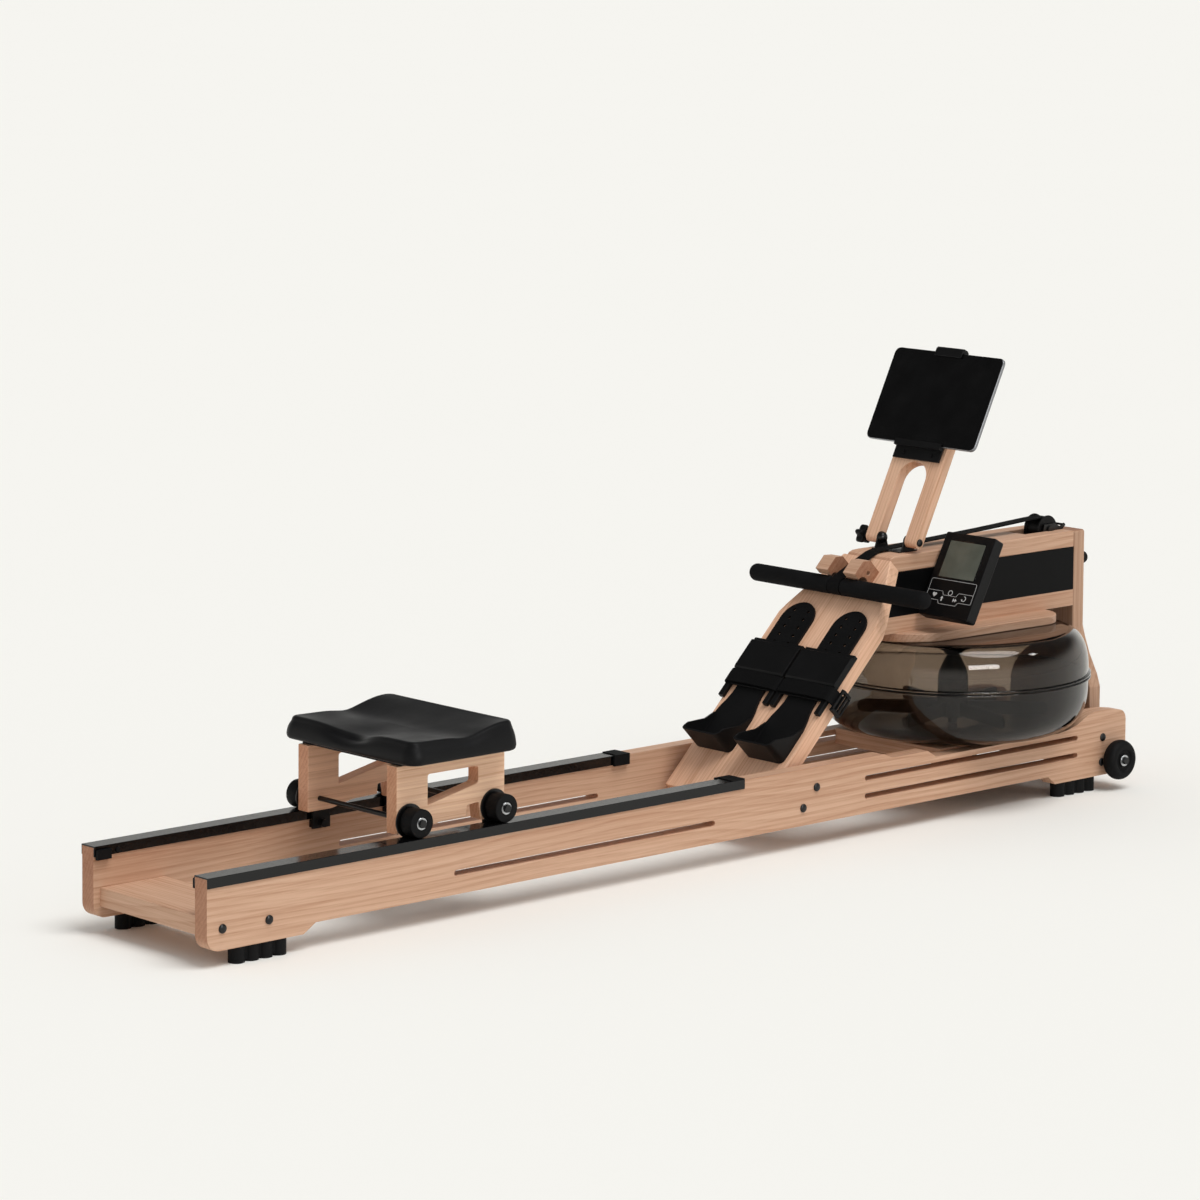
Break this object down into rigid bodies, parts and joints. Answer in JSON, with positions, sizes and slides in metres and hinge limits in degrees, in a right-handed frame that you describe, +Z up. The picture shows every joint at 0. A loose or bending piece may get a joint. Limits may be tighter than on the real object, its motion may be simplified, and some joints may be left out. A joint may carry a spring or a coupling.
{
  "type": "water rowing machine",
  "caption": "Wooden water rowing machine on two long rails with a rolling seat, sloping footboard, smoked water tank under twin beams, strap handle, console and a folding tablet arm.",
  "frame": {"origin": "on the floor, under the middle of the machine's bounding box", "axes": "+X along the rails from the rear end to the tank end, +Y away from the console side, +Z up"},
  "size_m": [2.026, 0.47, 0.7698],
  "materials": {
    "ash_wood": "oiled ash",
    "black_steel": "gloss black",
    "bright_steel": "brushed",
    "black_rubber": "matte",
    "grip_foam": "soft matte",
    "smoked_plastic": "clear smoked",
    "black_plastic": "satin",
    "gloss_black": "gloss",
    "webbing": "woven polyester"
  },
  "bodies": {
    "frame": {"rail_near": "ash_wood", "rail_far": "ash_wood", "track_near": "black_steel", "track_far": "black_steel", "track_stops": "black_rubber", "rear_cross_board": "ash_wood", "front_cross_board": "ash_wood", "tank_supports": "ash_wood", "feet": "black_rubber", "rail_bolts": "black_steel", "footboard": "ash_wood", "footboard_cleat": "ash_wood", "hook_blocks": "ash_wood", "upper_beam": "ash_wood", "lower_beam": "ash_wood", "side_panels": "black_steel", "front_upright": "ash_wood", "bumpers": "black_rubber", "tank_top_plate": "ash_wood", "tank_upper_shell": "smoked_plastic", "tank_lower_shell": "smoked_plastic", "tank_seal": "black_rubber", "shaft_bush": "black_plastic", "recoil_case": "black_plastic", "pulley_bracket": "black_steel", "pull_strap": "webbing", "footplates": "black_plastic", "foot_straps": "webbing", "console_mount": "black_steel", "arm_bracket": "black_steel"},
    "seat": {"seat_cushion": "grip_foam", "seat_base": "black_steel", "carriage_near": "ash_wood", "carriage_far": "ash_wood", "seat_axles": "black_steel", "seat_guides": "black_plastic"},
    "handle": {"handle_core": "bright_steel", "handle_grips": "grip_foam"},
    "paddle_wheel": {"paddle": "black_plastic"},
    "drum": {"strap_drum": "black_plastic"},
    "pulley": {"front_pulley": "black_plastic"},
    "heel_near": {"heel_slider_near": "black_plastic"},
    "heel_far": {"heel_slider_far": "black_plastic"},
    "monitor": {"console": "gloss_black"},
    "tablet_holder": {"tablet_arm": "ash_wood", "tablet_clamp": "black_plastic", "tablet": "gloss_black"},
    "clip": {"tablet_clip": "black_plastic"},
    "knob": {"star_knob": "black_plastic"},
    "wheel_near": {"transport_wheel_near": "black_rubber"},
    "wheel_far": {"transport_wheel_far": "black_rubber"},
    "roller_rear_near": {"roller_rear_near": "black_rubber"},
    "roller_rear_far": {"roller_rear_far": "black_rubber"},
    "roller_front_near": {"roller_front_near": "black_rubber"},
    "roller_front_far": {"roller_front_far": "black_rubber"},
    "key_heart": {"key_heart": "black_plastic"},
    "key_up": {"key_up": "black_plastic"},
    "key_mode": {"key_mode": "black_plastic"},
    "key_fast": {"key_fast": "black_plastic"},
    "key_reset": {"key_reset": "black_plastic"}
  },
  "joints": [
    {"name": "seat_slide", "type": "slide", "parent": "frame", "child": "seat", "axis": [1, 0, 0], "range_m": [-0.36, 0.42]},
    {"name": "roller_rear_near_spin", "type": "hinge", "parent": "seat", "child": "roller_rear_near", "pos_m": [-0.609, -0.137, 0.156], "axis": [0, 1, 0], "range_deg": [-938.6, 1094.8]},
    {"name": "roller_rear_far_spin", "type": "hinge", "parent": "seat", "child": "roller_rear_far", "pos_m": [-0.609, 0.137, 0.156], "axis": [0, 1, 0], "range_deg": [-938.6, 1094.8]},
    {"name": "roller_front_near_spin", "type": "hinge", "parent": "seat", "child": "roller_front_near", "pos_m": [-0.441, -0.137, 0.156], "axis": [0, 1, 0], "range_deg": [-938.6, 1094.8]},
    {"name": "roller_front_far_spin", "type": "hinge", "parent": "seat", "child": "roller_front_far", "pos_m": [-0.441, 0.137, 0.156], "axis": [0, 1, 0], "range_deg": [-938.6, 1094.8]},
    {"name": "handle_pull", "type": "slide", "parent": "frame", "child": "handle", "axis": [-1, 0, 0], "range_m": [0, 1.1], "deforming": ["pull_strap"]},
    {"name": "pulley_spin", "type": "hinge", "parent": "frame", "child": "pulley", "pos_m": [0.927, 0, 0.4375], "axis": [0, 1, 0], "range_deg": [-2973.9, 0]},
    {"name": "drum_spin", "type": "hinge", "parent": "frame", "child": "drum", "pos_m": [0.709, 0, 0.3705], "axis": [0, 0, 1], "range_deg": [-2152, 0]},
    {"name": "paddle_spin", "type": "hinge", "parent": "frame", "child": "paddle_wheel", "pos_m": [0.709, 0, 0.16], "axis": [0, 0, 1], "continuous": true},
    {"name": "heel_near_adjust", "type": "slide", "parent": "frame", "child": "heel_near", "axis": [0.7071, 0, 0.7071], "range_m": [-0.04, 0.025]},
    {"name": "heel_far_adjust", "type": "slide", "parent": "frame", "child": "heel_far", "axis": [0.7071, 0, 0.7071], "range_m": [-0.04, 0.025]},
    {"name": "console_tilt", "type": "hinge", "parent": "frame", "child": "monitor", "pos_m": [0.62347, -0.1105, 0.3862], "axis": [0, 1, 0], "range_deg": [-15, 15]},
    {"name": "key_heart_press", "type": "slide", "parent": "monitor", "child": "key_heart", "axis": [0.8829, 0, -0.4695], "range_m": [0, 0.0012], "stiffness_N_per_m": 400},
    {"name": "key_up_press", "type": "slide", "parent": "monitor", "child": "key_up", "axis": [0.8829, 0, -0.4695], "range_m": [0, 0.0012], "stiffness_N_per_m": 400},
    {"name": "key_mode_press", "type": "slide", "parent": "monitor", "child": "key_mode", "axis": [0.8829, 0, -0.4695], "range_m": [0, 0.0012], "stiffness_N_per_m": 400},
    {"name": "key_fast_press", "type": "slide", "parent": "monitor", "child": "key_fast", "axis": [0.8829, 0, -0.4695], "range_m": [0, 0.0012], "stiffness_N_per_m": 400},
    {"name": "key_reset_press", "type": "slide", "parent": "monitor", "child": "key_reset", "axis": [0.8829, 0, -0.4695], "range_m": [0, 0.0012], "stiffness_N_per_m": 400},
    {"name": "arm_fold", "type": "hinge", "parent": "frame", "child": "tablet_holder", "pos_m": [0.559, 0, 0.454], "axis": [0, 1, 0], "range_deg": [-40, 30]},
    {"name": "clip_lift", "type": "slide", "parent": "tablet_holder", "child": "clip", "axis": [0.4462, 0, 0.8949], "range_m": [0, 0.02], "stiffness_N_per_m": 250},
    {"name": "knob_turn", "type": "hinge", "parent": "frame", "child": "knob", "pos_m": [0.559, 0.065, 0.454], "axis": [0, 1, 0], "continuous": true},
    {"name": "wheel_near_spin", "type": "hinge", "parent": "frame", "child": "wheel_near", "pos_m": [0.949, -0.171, 0.052], "axis": [0, 1, 0], "continuous": true},
    {"name": "wheel_far_spin", "type": "hinge", "parent": "frame", "child": "wheel_far", "pos_m": [0.949, 0.171, 0.052], "axis": [0, 1, 0], "continuous": true}
  ],
  "couplings": [
    {"joint": "roller_rear_near_spin", "follows": "seat_slide", "rad_per_m": 45.455},
    {"joint": "roller_rear_far_spin", "follows": "seat_slide", "rad_per_m": 45.455},
    {"joint": "roller_front_near_spin", "follows": "seat_slide", "rad_per_m": 45.455},
    {"joint": "roller_front_far_spin", "follows": "seat_slide", "rad_per_m": 45.455},
    {"joint": "pulley_spin", "follows": "handle_pull", "rad_per_m": -47.17},
    {"joint": "drum_spin", "follows": "handle_pull", "rad_per_m": -34.13}
  ]
}
